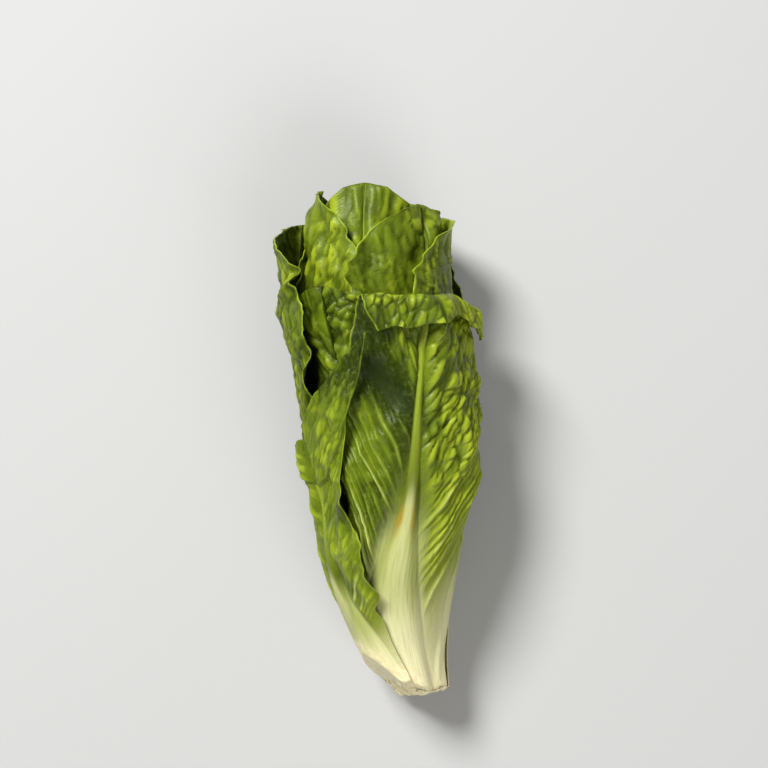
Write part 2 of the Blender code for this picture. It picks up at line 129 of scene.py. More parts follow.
# The head's own coordinates: s is the share of its length from the cut, turn the angle round its axis
# (0 faces up, a quarter turn faces +X), r the distance from the axis. These follow the solids.
head = {
    "length": 0.250,
    "shift": (0.00640, 0.12183, -0.00057),   # from those coordinates to the solids' place
    "outlineAt": (0.0, 0.03, 0.075, 0.15, 0.25, 0.40, 0.55, 0.70, 0.82, 0.92, 1.0),
    "outline": (12, 14, 16.5, 24, 33, 38.5, 42, 44, 44, 41.5, 34),
    "axisAt": (0.0, 0.2, 0.4, 0.6, 0.8, 1.0),
    "axisHeight": (25, 30, 35, 36.5, 36.2, 35.5),
    "axisSide": (24, 14.5, 14.5, 9, 1, 1),
    "flatBlend": 5 * mm,                     # how softly the flat underside rounds over
    "leastBlade": 0.65 * mm,                 # of a leaf that lies on the floor
    "firstTurn": math.radians(-66),          # the outermost leaf's
    "goldenAngle": math.radians(137.5),      # from each leaf to the next one in
    "leaves": 16,
    "seed": 11,
    "gapAtStem": 0.15 * mm,                  # between a leaf and those it is laid on
    "gapAtBlade": 0.7 * mm,
    "fieldStep": 2 * mm,                     # the field of radii that the leaves are stacked on
    "fieldTurns": 180,
}

# The dent in the front leaf between its rib and the lobe
hollow = {"depth": 6 * mm, "at": 0.60, "turn": math.radians(-3), "length": 0.10, "width": math.radians(15)}


def roundRadius(s):
    # the radius where nothing dents or flattens the head
    return smoothCurve(s, head["outlineAt"], head["outline"]) * mm


def outlineRadius(s, turn):
    # round, flat underneath where the head lies (height over cosine), less a bell-shaped dent
    height = smoothCurve(s, head["axisAt"], head["axisHeight"]) * mm
    flat = height / np.maximum(-np.cos(turn), 0.05)
    off = wrapped(turn - hollow["turn"]) / hollow["width"]
    dent = hollow["depth"] * np.exp(-(((s - hollow["at"]) / hollow["length"]) ** 2) - off**2)
    return softMin(roundRadius(s), flat, head["flatBlend"]) - dent


def inPlace(s, turn, r):
    # axis point at s, plus r along (sin turn, cos turn) in x and z
    side = smoothCurve(s, head["axisAt"], head["axisSide"]) * mm
    height = smoothCurve(s, head["axisAt"], head["axisHeight"]) * mm
    points = np.stack([side + r * np.sin(turn), s * head["length"], height + r * np.cos(turn)], -1)
    return points - np.array(head["shift"])


# The stem and the knife cuts

stem = {
    "radius": 12 * mm,
    "topRadius": 2 * mm,
    "shoulder": 8 * mm,
    "height": 34 * mm,
    "knives": (                        # a point from the cut's middle in mm, and the way each knife faces
        ((0, -1.0, 0), (0.10, -1.0, 0.10)),
        ((-7, 0.5, 0), (-0.75, -0.80, 0.32)),
        ((8, -0.5, 0), (0.45, -0.95, 0.30)),
        ((1, -3.0, 4), (0.05, -0.85, 0.52)),
    ),
    "rough": 0.5 * mm,                 # how uneven the cuts are
    "roughSize": 3.5 * mm,
    "chip": 1.4 * mm,                  # how deep the small facets on them are
    "chipSize": 6 * mm,
}


def stemRadius(along):
    # a cylinder to the shoulder, then nearly a cone to the top
    cone = np.clip((along - stem["shoulder"]) / (stem["height"] - stem["shoulder"]), 0, 1)
    return stem["radius"] + (stem["topRadius"] - stem["radius"]) * cone**0.9


def knifeAt(turn, r):
    # how far above the main cut the highest of the knives passes, at r from the axis, less chips: each
    # cell of a jittered grid is cut to its own depth; also 1 along the edges between the chips, else 0
    x, z = r * np.sin(turn), r * np.cos(turn)
    found = np.full(np.shape(turn), -np.inf)
    for (px, py, pz), (nx, ny, nz) in stem["knives"]:
        y = py * mm - (nx * (x - px * mm) + nz * (z - pz * mm)) / ny
        found = np.maximum(found, y)
    nearest, second, owner = cells(x / stem["chipSize"], z / stem["chipSize"], 33, 0.9)
    chips = stem["chip"] * (owner - 0.5) * smoothStep(second - nearest, 0.0, 0.45)
    rough = stem["rough"] * waviness(x / stem["roughSize"], z / stem["roughSize"], 31)
    return found + rough + chips, smoothStep(second - nearest, 0.55, 0.0) * (0.3 + 0.7 * owner)


# The leaves

# Leaf sizes from the outermost leaf to the innermost, and a leaf's shape along its length v
build = {
    "halfWidth": (55 * mm, 17 * mm),
    "ribHalfWidth": (15 * mm, 4.5 * mm),
    "ribThickness": (4.4 * mm, 1.3 * mm),
    "blade": (0.85 * mm, 0.7 * mm),
    "share": (1.0, 0.10),
    "root": (0.014, 0.126),
    "tips": (0.50, 0.90, 0.845, 0.92, 0.93, 0.79, 0.95, 0.95,
             0.98, 0.965, 0.99, 0.985, 0.96, 0.91, 0.82, 0.68),
    "outer": 8,                        # how many count as outer leaves, with more waves
    "widthAt": (0.0, 0.08, 0.2, 0.35, 0.5, 0.65, 0.78, 0.88, 0.95, 1.0),
    "width": (0.33, 0.36, 0.46, 0.66, 0.86, 1.0, 0.97, 0.80, 0.55, 0.26),
    "ribAt": (0.0, 0.12, 0.25, 0.4, 0.6, 0.8, 1.0),
    "ribWidth": (1.0, 0.98, 0.74, 0.38, 0.19, 0.12, 0.07),
    "ribSwell": (0.62, 1.0, 0.90, 0.64, 0.44, 0.28, 0.10),
    "riseAt": (0.0, 0.08, 0.25, 0.5, 0.75, 0.9, 1.0),
    "rise": (0.0, 0.30, 0.62, 0.68, 0.46, 0.14, -0.07),
    "wave": (3.6, 1.0),                # height of the long waves along the margin, in mm
    "waves": ((6.5, 1.0), (4.0, 0.5)),   # how many an outer and an inner leaf has, and how much it varies
    "flare": (3.5, 2.0),               # how far the tips stand off, in mm, and how far that varies
    "mostLean": math.radians(14),
    "ribColumn": 0.24,                 # the share of the columns k that the rib takes up
    "mostWrap": 2.55,                  # radians to each side of the rib
    "rollRadius": 4.2 * mm,            # of the fold at the front leaf's top
    "mostRoll": math.radians(188),
    "slant": 0.08,                     # how much higher a side vein meets the margin than the rib
    "bow": 1.15,                       # the power of edge by which a blade rises towards its margin
    "hiddenFrom": 6,                   # leaves this far in are mostly covered, and start on the stem
    "trimmedRoot": -0.022,             # the outer ones start below the cuts, which trim them
}


# How each leaf's surface looks. pucker is the depth of the long hollows between its side veins, blister the
# height of the rounder swellings higher up, crumple the depth of its broad folds, ruffle that of its margin's
# short waves, all in mm; veins is how many side veins a half has, tone runs from dark to bright. What else
# is given takes the place of the leaf's drawn or shared value; widths and rises are for the left and right.
outerLeaves = {
    "leafLobe": {
        "pucker": 1.3, "blister": 1.7, "crumple": 2.1, "ruffle": 3.4, "veins": 15, "tone": 0.60,
        "lean": math.radians(-12), "halfWidth": 54 * mm, "flare": 1.5 * mm, "bow": 0.80,
        "widths": [(0.33, 0.36, 0.46, 0.60, 0.70, 0.72, 0.62, 0.46, 0.32, 0.16),
                   (0.30, 0.33, 0.42, 0.52, 0.48, 0.41, 0.56, 0.75, 0.88, 0.97)],
        "rises": [build["rise"], (0.0, 0.20, 0.30, 0.40, 0.60, 0.80, 0.93)],
        "grid": (120, 220),
    },
    "leafUnder": {
        "pucker": 1.2, "blister": 1.5, "crumple": 1.6, "ruffle": 2.2, "veins": 20, "tone": 0.50,
        "flare": 0.0, "wave": 1.5 * mm,
        "widths": [(0.33, 0.36, 0.46, 0.62, 0.72, 0.74, 0.70, 0.58, 0.42, 0.22), build["width"]],
        "grid": (88, 156),
    },
    "leafFront": {
        "pucker": 2.4, "blister": 3.8, "crumple": 2.6, "ruffle": 1.2, "veins": 16.5, "tone": 0.52,
        "turn": math.radians(12.5), "lean": math.radians(64), "halfWidth": 50 * mm, "flare": 0.0,
        "widths": [(0.34, 0.36, 0.50, 0.68, 0.76, 0.66, 0.60, 0.58, 0.58, 0.56),
                   (0.52, 0.58, 0.70, 0.82, 0.94, 1.0, 0.96, 0.90, 0.82, 0.74)],
        "rises": [(0.0, 0.30, 0.60, 0.62, 0.45, 0.20, 0.08), (0.0, 0.30, 0.60, 0.62, 0.42, 0.08, -0.20)],
        "slant": 0.17, "rollFrom": 0.755, "stain": 1.0,
        "grid": (156, 310),
    },
    "leafFarLeft": {
        "pucker": 1.5, "blister": 2.4, "crumple": 2.6, "ruffle": 4.2, "veins": 18, "tone": 0.50,
        "widths": [build["width"], (0.33, 0.36, 0.46, 0.66, 0.90, 1.10, 1.10, 0.92, 0.66, 0.30)],
        "grid": (116, 210),
    },
    "leafRight": {
        "pucker": 1.5, "blister": 2.2, "crumple": 2.2, "ruffle": 3.2, "veins": 18, "tone": 0.74,
        "flare": 0.0, "slant": 0.10,
        "grid": (104, 190),
    },
    "leafBlistered": {
        # its low tone is partly its own darker green and partly painted shade where it lies behind the front
        # leaf
        "pucker": 1.5, "blister": 4.0, "crumple": 2.2, "ruffle": 1.6, "veins": 16, "tone": 0.30,
        "halfWidth": 45 * mm, "ribFade": 0.52,
        "grid": (112, 210),
    },
    "leafBack": {
        "pucker": 1.2, "blister": 2.0, "crumple": 2.0, "ruffle": 3.0, "veins": 18, "tone": 0.55,
        "grid": (88, 160),
    },
    "leafRightInner": {
        "pucker": 1.2, "blister": 2.0, "crumple": 2.0, "ruffle": 2.6, "veins": 18, "tone": 0.62,
        "grid": (88, 160),
    },
}
heartLeaf = {
    "pucker": 1.2, "blister": 2.8, "crumple": 1.9, "ruffle": 3.0, "veins": 18, "tone": 0.70,
    "grid": (56, 118),
}


def makeLeaves():
    # One dictionary of values a leaf, from the outermost in. Sizes run evenly or by a power of the leaf's
    # place from the first value of a pair to the second, and what varies is drawn as it is for the solids.
    draw = np.random.default_rng(head["seed"])
    names = list(outerLeaves)
    names += ["heart%02d" % number for number in range(len(names) + 1, head["leaves"] + 1)]
    leaves = []
    for order, name in enumerate(names):
        inward = order / (head["leaves"] - 1)
        vary = draw.uniform(-1, 1, 6)
        phases = draw.uniform(0, 2 * math.pi, 4)
        waves, wavesVary = build["waves"][0 if order < build["outer"] else 1]
        leaf = {
            "name": name,
            "node": "leaf_%02d" % (order + 1),
            "order": order,
            "seed": 100 * order + 5,
            "turn": wrapped(head["firstTurn"] - order * head["goldenAngle"]),
            "lean": build["mostLean"] * vary[0],
            "root": between(build["root"], inward),
            "tip": build["tips"][order],
            "share": between(build["share"], inward**1.25),
            "halfWidth": between(build["halfWidth"], inward**1.3) * (1 + 0.05 * vary[1]),
            "ribHalfWidth": between(build["ribHalfWidth"], inward**0.9),
            "ribThickness": between(build["ribThickness"], inward**0.9),
            "blade": between(build["blade"], inward),
            "wave": between(build["wave"], inward) * mm * (1 + 0.25 * vary[2]),
            "waves": waves + wavesVary * vary[3],
            "phases": phases,
            "flare": (build["flare"][0] + build["flare"][1] * vary[4]) * mm * (1 - inward),
            "widths": [build["width"], build["width"]],
            "rises": [build["rise"], build["rise"]],
            "slant": build["slant"],
            "bow": build["bow"],
            "rollFrom": 2.0,           # past the tip, so it isn't rolled
            "ribFade": 1.0,
            "stain": 0.0,
        }
        leaf.update(outerLeaves.get(name, heartLeaf))
        leaves.append(leaf)
    return leaves


def sides(k, stations, curves, v):
    # the first curve left of the rib, the second right of it
    return np.where(k < 0, smoothCurve(v, stations, curves[0]), smoothCurve(v, stations, curves[1]))


# The notches in a margin: their depth for a ruffle of 1, as a share of the half width, and their lengths
notches = {"depth": 0.024, "long": 8 * mm, "short": 3.5 * mm, "atFoot": 2.2}


def leafMap(leaf, k, v):
    # away runs from the rib to the margin; s climbs with v and by rise * edge^bow; the wrap angle is
    # away over the layer's radius, eased by a tanh so that it never passes mostWrap
    half = leaf["halfWidth"] * sides(k, build["widthAt"], leaf["widths"], v)
    along = v * (leaf["tip"] - leaf["root"]) * head["length"]
    long = waviness(along / notches["long"], np.sign(k) * 3.0 + 0 * v, leaf["seed"])
    short = waviness(along / notches["short"], np.sign(k) * 5.0 + 0 * v, leaf["seed"] + 1)
    notch = 0.8 * long + 0.2 * short
    if leaf["name"] == "leafLobe":     # only its foot is notched, deeper at the right
        notch = notch * (1 - smoothStep(v, 0.55, 0.70)) * np.where(k > 0, notches["atFoot"], 1.0)
    half = half * (1 + notches["depth"] * leaf["ruffle"] * notch * smoothStep(v, 0.1, 0.3) * np.abs(k))
    rib = leaf["ribHalfWidth"] * smoothCurve(v, build["ribAt"], build["ribWidth"])
    across = np.abs(k)
    column = build["ribColumn"]
    onBlade = rib + (half - rib) * (across - column) / (1 - column)
    away = np.where(across < column, rib * across / column, onBlade)
    edge = away / half
    rise = leaf["halfWidth"] * sides(k, build["riseAt"], leaf["rises"], v)
    usual = build["bow"]
    bow = np.where(k > 0, leaf["bow"] + (usual - leaf["bow"]) * (1 - smoothStep(v, 0.6, 0.9)), usual)
    climbed = leaf["root"] + (leaf["tip"] - leaf["root"]) * v + rise * edge**bow / head["length"]
    radius = np.maximum(leaf["share"] * roundRadius(climbed), stemRadius(climbed * head["length"]))
    wrap = build["mostWrap"] * np.tanh(np.sign(k) * away / (radius * build["mostWrap"]))
    turn = leaf["turn"] + leaf["lean"] * (climbed - 0.45) + wrap
    root = build["trimmedRoot"] if leaf["order"] < build["hiddenFrom"] else leaf["root"]
    s = climbed + (root - leaf["root"]) * (1 - smoothStep(v, 0.0, 0.20))
    return s, turn, away, edge


def cushion(nearest, second, width):
    # round-topped between creases: 1 - (1 - t)^2, t the gap between the two distances over width
    return 1 - (1 - np.clip((second - nearest) / width, 0, 1)) ** 2


# The line across the lobe where its upper part hangs over its foot
flap = {"at": 0.412, "turn": math.radians(-62), "bend": 0.055, "width": math.radians(24), "lift": 2.0 * mm}


def flapAbove(leaf, s, turn):
    # 1 above a rounded line across the lobe, where its upper part hangs over its foot, 0 below
    if leaf["name"] != "leafLobe":
        return np.zeros_like(s)
    line = flap["at"] + flap["bend"] * ((turn - flap["turn"]) / flap["width"]) ** 2
    return smoothStep(s - line, -0.002, 0.002)


def offSurface(turn):
    # 1 round the head, nearly 0 underneath
    return 1 - 0.9 * smoothStep(-np.cos(turn), 0.2, 0.8)


# The ruffles of a margin: the lengths of their waves and of what makes them stronger and weaker
ruffles = {"broad": 9 * mm, "fine": 4.2 * mm, "changes": 30 * mm}


def ripple(leaf, k, v, edge, s, turn):
    # long waves along the margin that grow with edge^2.4, and ruffles in its last centimetre: two noises
    # of the length along the margin, pushed towards their extremes
    side = (k > 0).astype(int)
    along = v * (leaf["tip"] - leaf["root"]) * head["length"]
    lane = 7.0 * side + 0 * v
    phase = np.where(side, leaf["phases"][0], leaf["phases"][1])
    wobble = 0.8 * np.sin(2 * math.pi * 1.7 * v + leaf["phases"][2] + side)
    wave = 0.5 + 0.5 * np.sin(2 * math.pi * leaf["waves"] * v + phase + wobble)
    fold = rollLine(leaf, k)
    flat = 1 - smoothStep(s, fold - 0.07, fold - 0.01)
    if leaf["name"] == "leafLobe":
        flat = np.where(k < 0, 0.0, 1 - smoothStep(v, 0.56, 0.68))
    broad = smoothStep(waviness(along / ruffles["broad"], lane + edge * 0.8, leaf["seed"] + 3), -0.6, 0.6)
    fine = smoothStep(waviness(along / ruffles["fine"], lane + edge * 1.5, leaf["seed"] + 4), -0.7, 0.7)
    strength = 0.5 + 0.5 * waviness(along / ruffles["changes"], lane, leaf["seed"] + 5)
    ruffle = leaf["ruffle"] * mm * (0.3 + 0.7 * strength) * (
        broad * smoothStep(edge, 0.55, 1.0) ** 1.3 + 0.4 * fine * smoothStep(edge, 0.80, 1.0))
    grown = 0.7 * leaf["wave"] * wave * edge**2.4
    return (grown * flat + ruffle * (0.25 + 0.75 * flat)) * smoothStep(v, 0.10, 0.32) * offSurface(turn)


def ribProfile(leaf, k, v):
    # the rib's swelling along v, and its section 1 - (k / column)^2, fuller by a power, until ribFade
    swell = smoothCurve(v, build["ribAt"], build["ribSwell"])
    fade = 1 - smoothStep(v, leaf["ribFade"] - 0.12, leaf["ribFade"] + 0.05)
    return swell, np.clip(1 - (np.abs(k) / build["ribColumn"]) ** 2, 0, 1) ** 0.8 * fade


# The relief of every blade, as lengths on the leaf or as shares of the spacing of its side veins
relief = {
    "drift": (22 * mm, 10 * mm),       # how far along a side vein it keeps its way, for two noises
    "vein": 0.24,                      # a side vein's half width at the foot, and how much less it is above
    "veinThinner": 0.09,
    "thinVein": 0.13,
    "thinVeinFrom": (5 * mm, 14 * mm),   # how far from the rib the thinner ones start
    "blister": 14 * mm,                # a blister's length away from the rib, shorter farther out
    "blisterShortens": 30 * mm,
    "crease": (0.55, 0.60),            # how wide the creases round the large and the small blisters are
    "fold": (13 * mm, 21 * mm),        # a broad fold's width and length
    "smallFold": (7 * mm, 10 * mm),
    "lobeFoot": 2.4,                   # the extra folds of the lobe's foot, in mm
    "fullBlister": 2.6,                # leaves with lower blisters than this, in mm, show them more weakly
    "toneSize": (20 * mm, 30 * mm),
}

# The smooth place in the hollow, darkened by painted shade: at and turn are added to the dent's own, length
# and width are shares of the dent's, slant turns it with s, corner is how calm and shaded the corner below
# the fold is, and paintedShade how dark
shade = {"at": 0.010, "turn": math.radians(4), "length": 0.78, "width": 1.05, "slant": 3.0, "power": 2.6,
         "most": 0.85, "corner": 0.6, "paintedShade": 0.98}


def sideVeins(leaf, v, away, edge, side, seed):
    # Ridges at whole numbers of a phase that climbs with v, less near the margin, and drifts by noise, with
    # thinner ones halfway between: each a bell over its distance from the whole number.
    lane = side * 3
    drift = waviness(v * 6, lane + away / relief["drift"][0], seed)
    drift = drift + 0.5 * waviness(v * 15, lane + away / relief["drift"][1], seed + 1)
    climb = softMax(v - leaf["slant"] * edge, 0.0, 0.02)
    phase = leaf["veins"] * climb**0.86 + 0.42 * drift + 0.35 * waviness(v * 9, lane + 0 * v, seed + 2)
    main = 0.35 + 0.65 * scattered(np.round(phase), side * 5, seed + 60)
    minor = scattered(np.round(phase + 0.5), side * 5, seed + 61)
    gap = np.abs(phase - np.round(phase))
    halfGap = np.abs(phase + 0.5 - np.round(phase + 0.5))
    width = relief["vein"] - relief["veinThinner"] * smoothStep(v, 0.25, 0.55)
    vein = main * np.exp(-((gap / width) ** 2)) * (0.30 + 0.70 * smoothStep(edge, 1.05, 0.45))
    thin = 0.8 * minor * np.exp(-((halfGap / relief["thinVein"]) ** 2))
    thin = thin * smoothStep(away, *relief["thinVeinFrom"])
    return phase, vein, np.maximum(vein, thin)


def blisters(away, phase, side, seed):
    # two layers of jittered cells between the side veins, the second with cells half as large, each
    # cell a cushion with a number of its own
    far = away / relief["blister"] + 1.2 * (away / relief["blisterShortens"]) ** 2
    nearest, second, owner = cells(far + side * 40, phase * 0.95, seed, 0.95)
    smallNearest, smallSecond, smallOwner = cells(2.0 * far + side * 90, phase * 1.9, seed + 50, 0.95)
    large = cushion(nearest, second, relief["crease"][0])
    small = cushion(smallNearest, smallSecond, relief["crease"][1])
    return large, owner, small, smallOwner


def broadFolds(away, lane, s, seed):
    # a ridged noise, 1 - |noise|, and a finer one
    along = s * head["length"]
    (width, length), (smallWidth, smallLength) = relief["fold"], relief["smallFold"]
    fold = 1 - np.abs(waviness(away / width + lane, along / length + away / 0.03, seed + 70))
    return 0.6 * fold + 0.4 * (1 - np.abs(waviness(away / smallWidth + lane, along / smallLength, seed + 71)))


def calmAndShade(leaf, k, s, turn):
    # 1 where the front leaf is smooth and carries painted shade: a flat-topped bell round the hollow, and the
    # left corner below its fold
    if leaf["name"] != "leafFront":
        return np.zeros_like(s)
    across = wrapped(turn - hollow["turn"] - shade["turn"] + shade["slant"] * (s - hollow["at"]))
    across = np.abs(across / (shade["width"] * hollow["width"])) ** shade["power"]
    along = np.abs((s - hollow["at"] - shade["at"]) / (shade["length"] * hollow["length"])) ** shade["power"]
    corner = smoothStep(k, -0.45, -0.70) * smoothStep(s, 0.62, 0.69)
    corner = corner * (1 - smoothStep(s, leaf["rollFrom"], leaf["rollFrom"] + 0.01))
    return np.maximum(shade["most"] * np.exp(-along - across), shade["corner"] * corner)


def brightness(leaf, k, v, away, s, upper, calmShaded, fold, seed):
    # the leaf's tone with slow noise, painted shade where it is calm, and what the front leaf and the lobe
    # add
    lane = np.sign(k) * 3
    width, length = relief["toneSize"]
    tone = leaf["tone"] + 0.12 * waviness(away / width + lane, s * head["length"] / length, seed + 72)
    # painted shade over the hollow and over the corner below the fold
    tone = tone - shade["paintedShade"] * calmShaded
    if leaf["name"] == "leafFront":
        low = smoothStep(s, 0.36, 0.44) * smoothStep(s, 0.64, 0.54)
        tone = tone + 0.20 * smoothStep(k, -0.40, -0.65) * low
        tone = tone + 0.44 * smoothStep(k, 0.1, 0.4) * (1 - 0.3 * upper)
        tone = tone - 0.02 * smoothStep(s, leaf["rollFrom"] - 0.01, leaf["rollFrom"] + 0.01)
        tone = tone + 0.22 * smoothStep(s - rollLine(leaf, k), 0.0, 0.02) * smoothStep(k, -0.90, -0.75)
    if leaf["name"] == "leafLobe":
        # the lobe darker towards its top, and on its foot painted light on the crests of its broad folds and
        # painted shade between them
        tone = tone - 0.45 * smoothStep(s, 0.52, 0.66) + 0.5 * (fold - 0.5) * smoothStep(v, 0.60, 0.45)
    return tone


def tissue(leaf, k, v, away, edge, s, turn):
    # The relief, all of it outwards: low on the leaf the blade sinks between its veins in long hollows,
    # higher up it swells into blisters between creases, and broad folds go over both.
    seed = leaf["seed"] + 20
    side = np.sign(k)
    lane = side * 3
    phase, vein, ridge = sideVeins(leaf, v, away, edge, side, seed)
    wall, owner, small, smallOwner = blisters(away, phase, side, seed)
    fold = broadFolds(away, lane, s, seed)
    calmShaded = calmAndShade(leaf, k, s, turn)
    over = flapAbove(leaf, s, turn)
    column = build["ribColumn"]
    onBlade = smoothStep(np.abs(k), column * 0.75, column * (1.9 - 0.65 * smoothStep(v, 0.4, 0.6)))
    ribless = smoothStep(v, leaf["ribFade"] - 0.05, leaf["ribFade"] + 0.08)
    onBlade = np.maximum(onBlade, ribless * smoothStep(np.abs(k), 0.01, 0.10))
    leftward = (side < 0) * (leaf["name"] == "leafFront")
    uneven = 0.05 * waviness(away / 0.015, v * 9, seed + 2) + 0.05 * side - 0.08 * leftward
    upper = smoothStep(v + uneven, 0.36, 0.62)
    swollen = wall * (0.3 + 0.7 * owner) * 0.45 + small * (0.2 + 0.8 * smallOwner) * 0.55
    hollows = ridge * (0.75 + 0.25 * small) + 0.12 * small * smallOwner
    strength = smoothStep(v, 0.07, 0.24) * onBlade * (1 - calmShaded) * (1 - 0.70 * smoothStep(edge, 0.84, 1.0))
    long = (1 - upper) * leaf["pucker"] * (1 - 0.15 * side) * hollows
    deep = strength * (long + upper * leaf["blister"] * swollen)
    deep = deep + leaf["crumple"] * fold**1.5 * onBlade * smoothStep(v, 0.10, 0.35) * (1 - 0.9 * calmShaded)
    if leaf["name"] == "leafLobe":     # its foot is lumpy below the lobe
        foot = smoothStep(v, 0.14, 0.30) * (1 - smoothStep(v, 0.50, 0.66)) * (side > 0)
        deep = deep + relief["lobeFoot"] * fold**1.5 * onBlade * foot
    if leaf["order"] >= build["hiddenFrom"]:   # what the others hide stays flatter, so they lie closer
        deep = deep * (0.25 + 0.75 * smoothStep(v, 0.55, 0.80))
    deep = deep * mm * (0.35 + 0.65 * offSurface(turn)) + flap["lift"] * over
    blistered = min(1, leaf["blister"] / relief["fullBlister"])
    # the relief's height, which the material turns into painted light on the rises and painted shade in the
    # hollows
    swell = np.clip((1 - upper) * hollows + upper * swollen * 1.3, 0, 1) * strength
    masks = {
        "vein": vein * onBlade * smoothStep(v, 0.04, 0.15) * (1 - 0.75 * upper) * (1 - 0.8 * over),
        # the creases between blisters, which the material darkens with painted shade
        "wall": (1 - wall * small) * strength * upper * blistered,
        "swell": 0.5 + (swell - 0.5) * blistered,
        "patch": 0.5 * owner + 0.5 * smallOwner,
        "tone": brightness(leaf, k, v, away, s, upper, calmShaded, fold, seed),
        "over": over,
    }
    return deep, masks


def sampled(heights, s, turn):
    # the field of radii at (s, turn), linear between its points
    row = np.clip(s * head["length"] / head["fieldStep"], 0, heights.shape[0] - 1.001)
    column = (turn / (2 * math.pi) * head["fieldTurns"]) % head["fieldTurns"]
    i, j = row.astype(int), column.astype(int) % head["fieldTurns"]
    a, b = row - i, column - np.floor(column)
    right = (j + 1) % head["fieldTurns"]
    low = heights[i, j] * (1 - b) + heights[i, right] * b
    high = heights[i + 1, j] * (1 - b) + heights[i + 1, right] * b
    return low * (1 - a) + high * a


def rollLine(leaf, k):
    # where the tip folds back: a little uneven, lower towards the right margin
    if leaf["rollFrom"] > 1:
        return leaf["rollFrom"] + 0 * k
    return leaf["rollFrom"] + 0.005 * waviness(k * 5, 0 * k, 77) - 0.035 * smoothStep(k, 0.45, 1.0)


def rolled(fold, s, turn, inner, outer):
    # past the fold: round a roller outside the sheet by angle = excess / radius, then straight on
    excess = np.maximum(s - fold, 0) * head["length"]
    angle = np.minimum(excess / build["rollRadius"], build["mostRoll"])
    onward = excess - angle * build["rollRadius"]
    past = s > fold
    faces = []
    for off in (0, outer - inner):
        reach = build["rollRadius"] - off
        bentS = fold + (reach * np.sin(angle) + onward * np.cos(angle)) / head["length"]
        bentR = inner + build["rollRadius"] - reach * np.cos(angle) + onward * np.sin(angle)
        faces.append((np.where(past, bentS, s), turn, np.where(past, bentR, inner + off)))
    return faces


# The ochre stain beside the front rib, left and right of it in k, and the browning: on the cuts, how much
# more on the lowest, above them, how far above as a share of the head's length, and how uneven that is
stain = {"at": 0.342, "length": 0.032, "side": (-0.13, 0.12), "width": (0.065, 0.04)}
browning = {"cut": 0.20, "cutLow": 0.38, "above": 0.75, "reach": 0.022, "uneven": 0.016}


def trimmed(s, turn, r):
    # s lifted onto the knives' cuts, and how brown it is: on the cut, more so along the edges between
    # its facets, and unevenly a little way above it
    lowest, crease = knifeAt(turn, r)
    lowest = lowest / head["length"]
    onCut = browning["cut"] + browning["cutLow"] * smoothStep(lowest, 0.022, 0.002)
    onCut = smoothStep(lowest - s, -0.0015, 0.0015) * onCut * (0.6 + 0.8 * crease)
    reach = browning["reach"] + browning["uneven"] * waviness(turn * 5, s * 12, 41)
    above = smoothStep(lowest + reach - s, -0.003, 0.003) * (0.35 + 0.65 * crease)
    return np.maximum(s, lowest), np.maximum(onCut, browning["above"] * above)


def leafSheet(leaf, k, v, envelope):
    # The inner face is the higher of the layer's own radius and the envelope of the leaves inside, plus
    # ripple and relief, all of them outwards; the outer face adds the blade and the rib.
    flatS, turn, away, edge = leafMap(leaf, k, v)
    fold = rollLine(leaf, k)
    s = np.minimum(flatS, fold)
    target = leaf["share"] * outlineRadius(s, turn)
    target = target + leaf["flare"] * smoothStep(v, 0.7, 1.0) * smoothStep(np.cos(turn), -0.6, 0.4)
    gap = between((head["gapAtStem"], head["gapAtBlade"]), smoothStep(s, 0.12, 0.40))
    inner = softMax(target, sampled(envelope, s, turn) + gap, 1.0 * mm)
    inner = inner + ripple(leaf, k, v, edge, s, turn)
    deep, masks = tissue(leaf, k, v, away, edge, flatS, turn)
    slope = np.gradient(inner, axis=0) / (np.gradient(flatS, axis=0) * head["length"])
    slanted = np.sqrt(1 + np.clip(slope, -1.5, 1.5) ** 2)
    inner = inner + deep
    swell, profile = ribProfile(leaf, k, v)
    profile = profile * (1 - masks["over"])
    blade = leaf["blade"] * (1 - 0.45 * smoothStep(edge, 0.7, 1.0))
    outer = inner + (blade + leaf["ribThickness"] * swell * profile) * slanted
    beside = np.maximum(np.abs(k) - build["ribColumn"], 0) / 0.11
    beside = 0.5 * np.exp(-(beside**2)) * smoothStep(v, 0.62, 0.30) * (1 - masks["over"])
    masks["rib"] = np.maximum(profile**1.5 * smoothStep(v, 1.02, 0.80), beside)
    masks["along"] = v
    crest = (flatS - fold) * head["length"] - 0.5 * math.pi * build["rollRadius"]
    masks["edge"] = np.maximum(edge, np.exp(-((crest / (0.8 * mm)) ** 2)))     # the fold's crest gets the margins' painted highlight too
    fromStain = (k - np.where(k < 0, *stain["side"])) / np.where(k < 0, *stain["width"])
    masks["stain"] = leaf["stain"] * np.exp(-(((flatS - stain["at"]) / stain["length"]) ** 2) - fromStain**2)
    masks["sheetU"], masks["sheetV"] = np.sign(k) * away, flatS * head["length"]
    faces = []
    for sFace, turnFace, rFace in rolled(fold, flatS, turn, inner, outer):
        sFace, masks["cut"] = trimmed(sFace, turnFace, rFace)
        faces.append((sFace, turnFace, rFace))
    return faces, masks


def dilated(heights, rows, columns):
    # the largest value within that many rows and columns
    found = heights.copy()
    for step in range(1, columns + 1):
        found = np.maximum(found, np.maximum(np.roll(heights, step, 1), np.roll(heights, -step, 1)))
    spread = found.copy()
    for step in range(1, rows + 1):
        spread[step:] = np.maximum(spread[step:], found[:-step])
        spread[:-step] = np.maximum(spread[:-step], found[step:])
    return spread


def blurred(heights, rows, columns):
    # a mean of three neighbours, that many times each way
    for _ in range(columns):
        heights = (heights + np.roll(heights, 1, 1) + np.roll(heights, -1, 1)) / 3
    for _ in range(rows):
        padded = np.pad(heights, ((1, 1), (0, 0)), mode="edge")
        heights = (padded[:-2] + padded[1:-1] + padded[2:]) / 3
    return heights


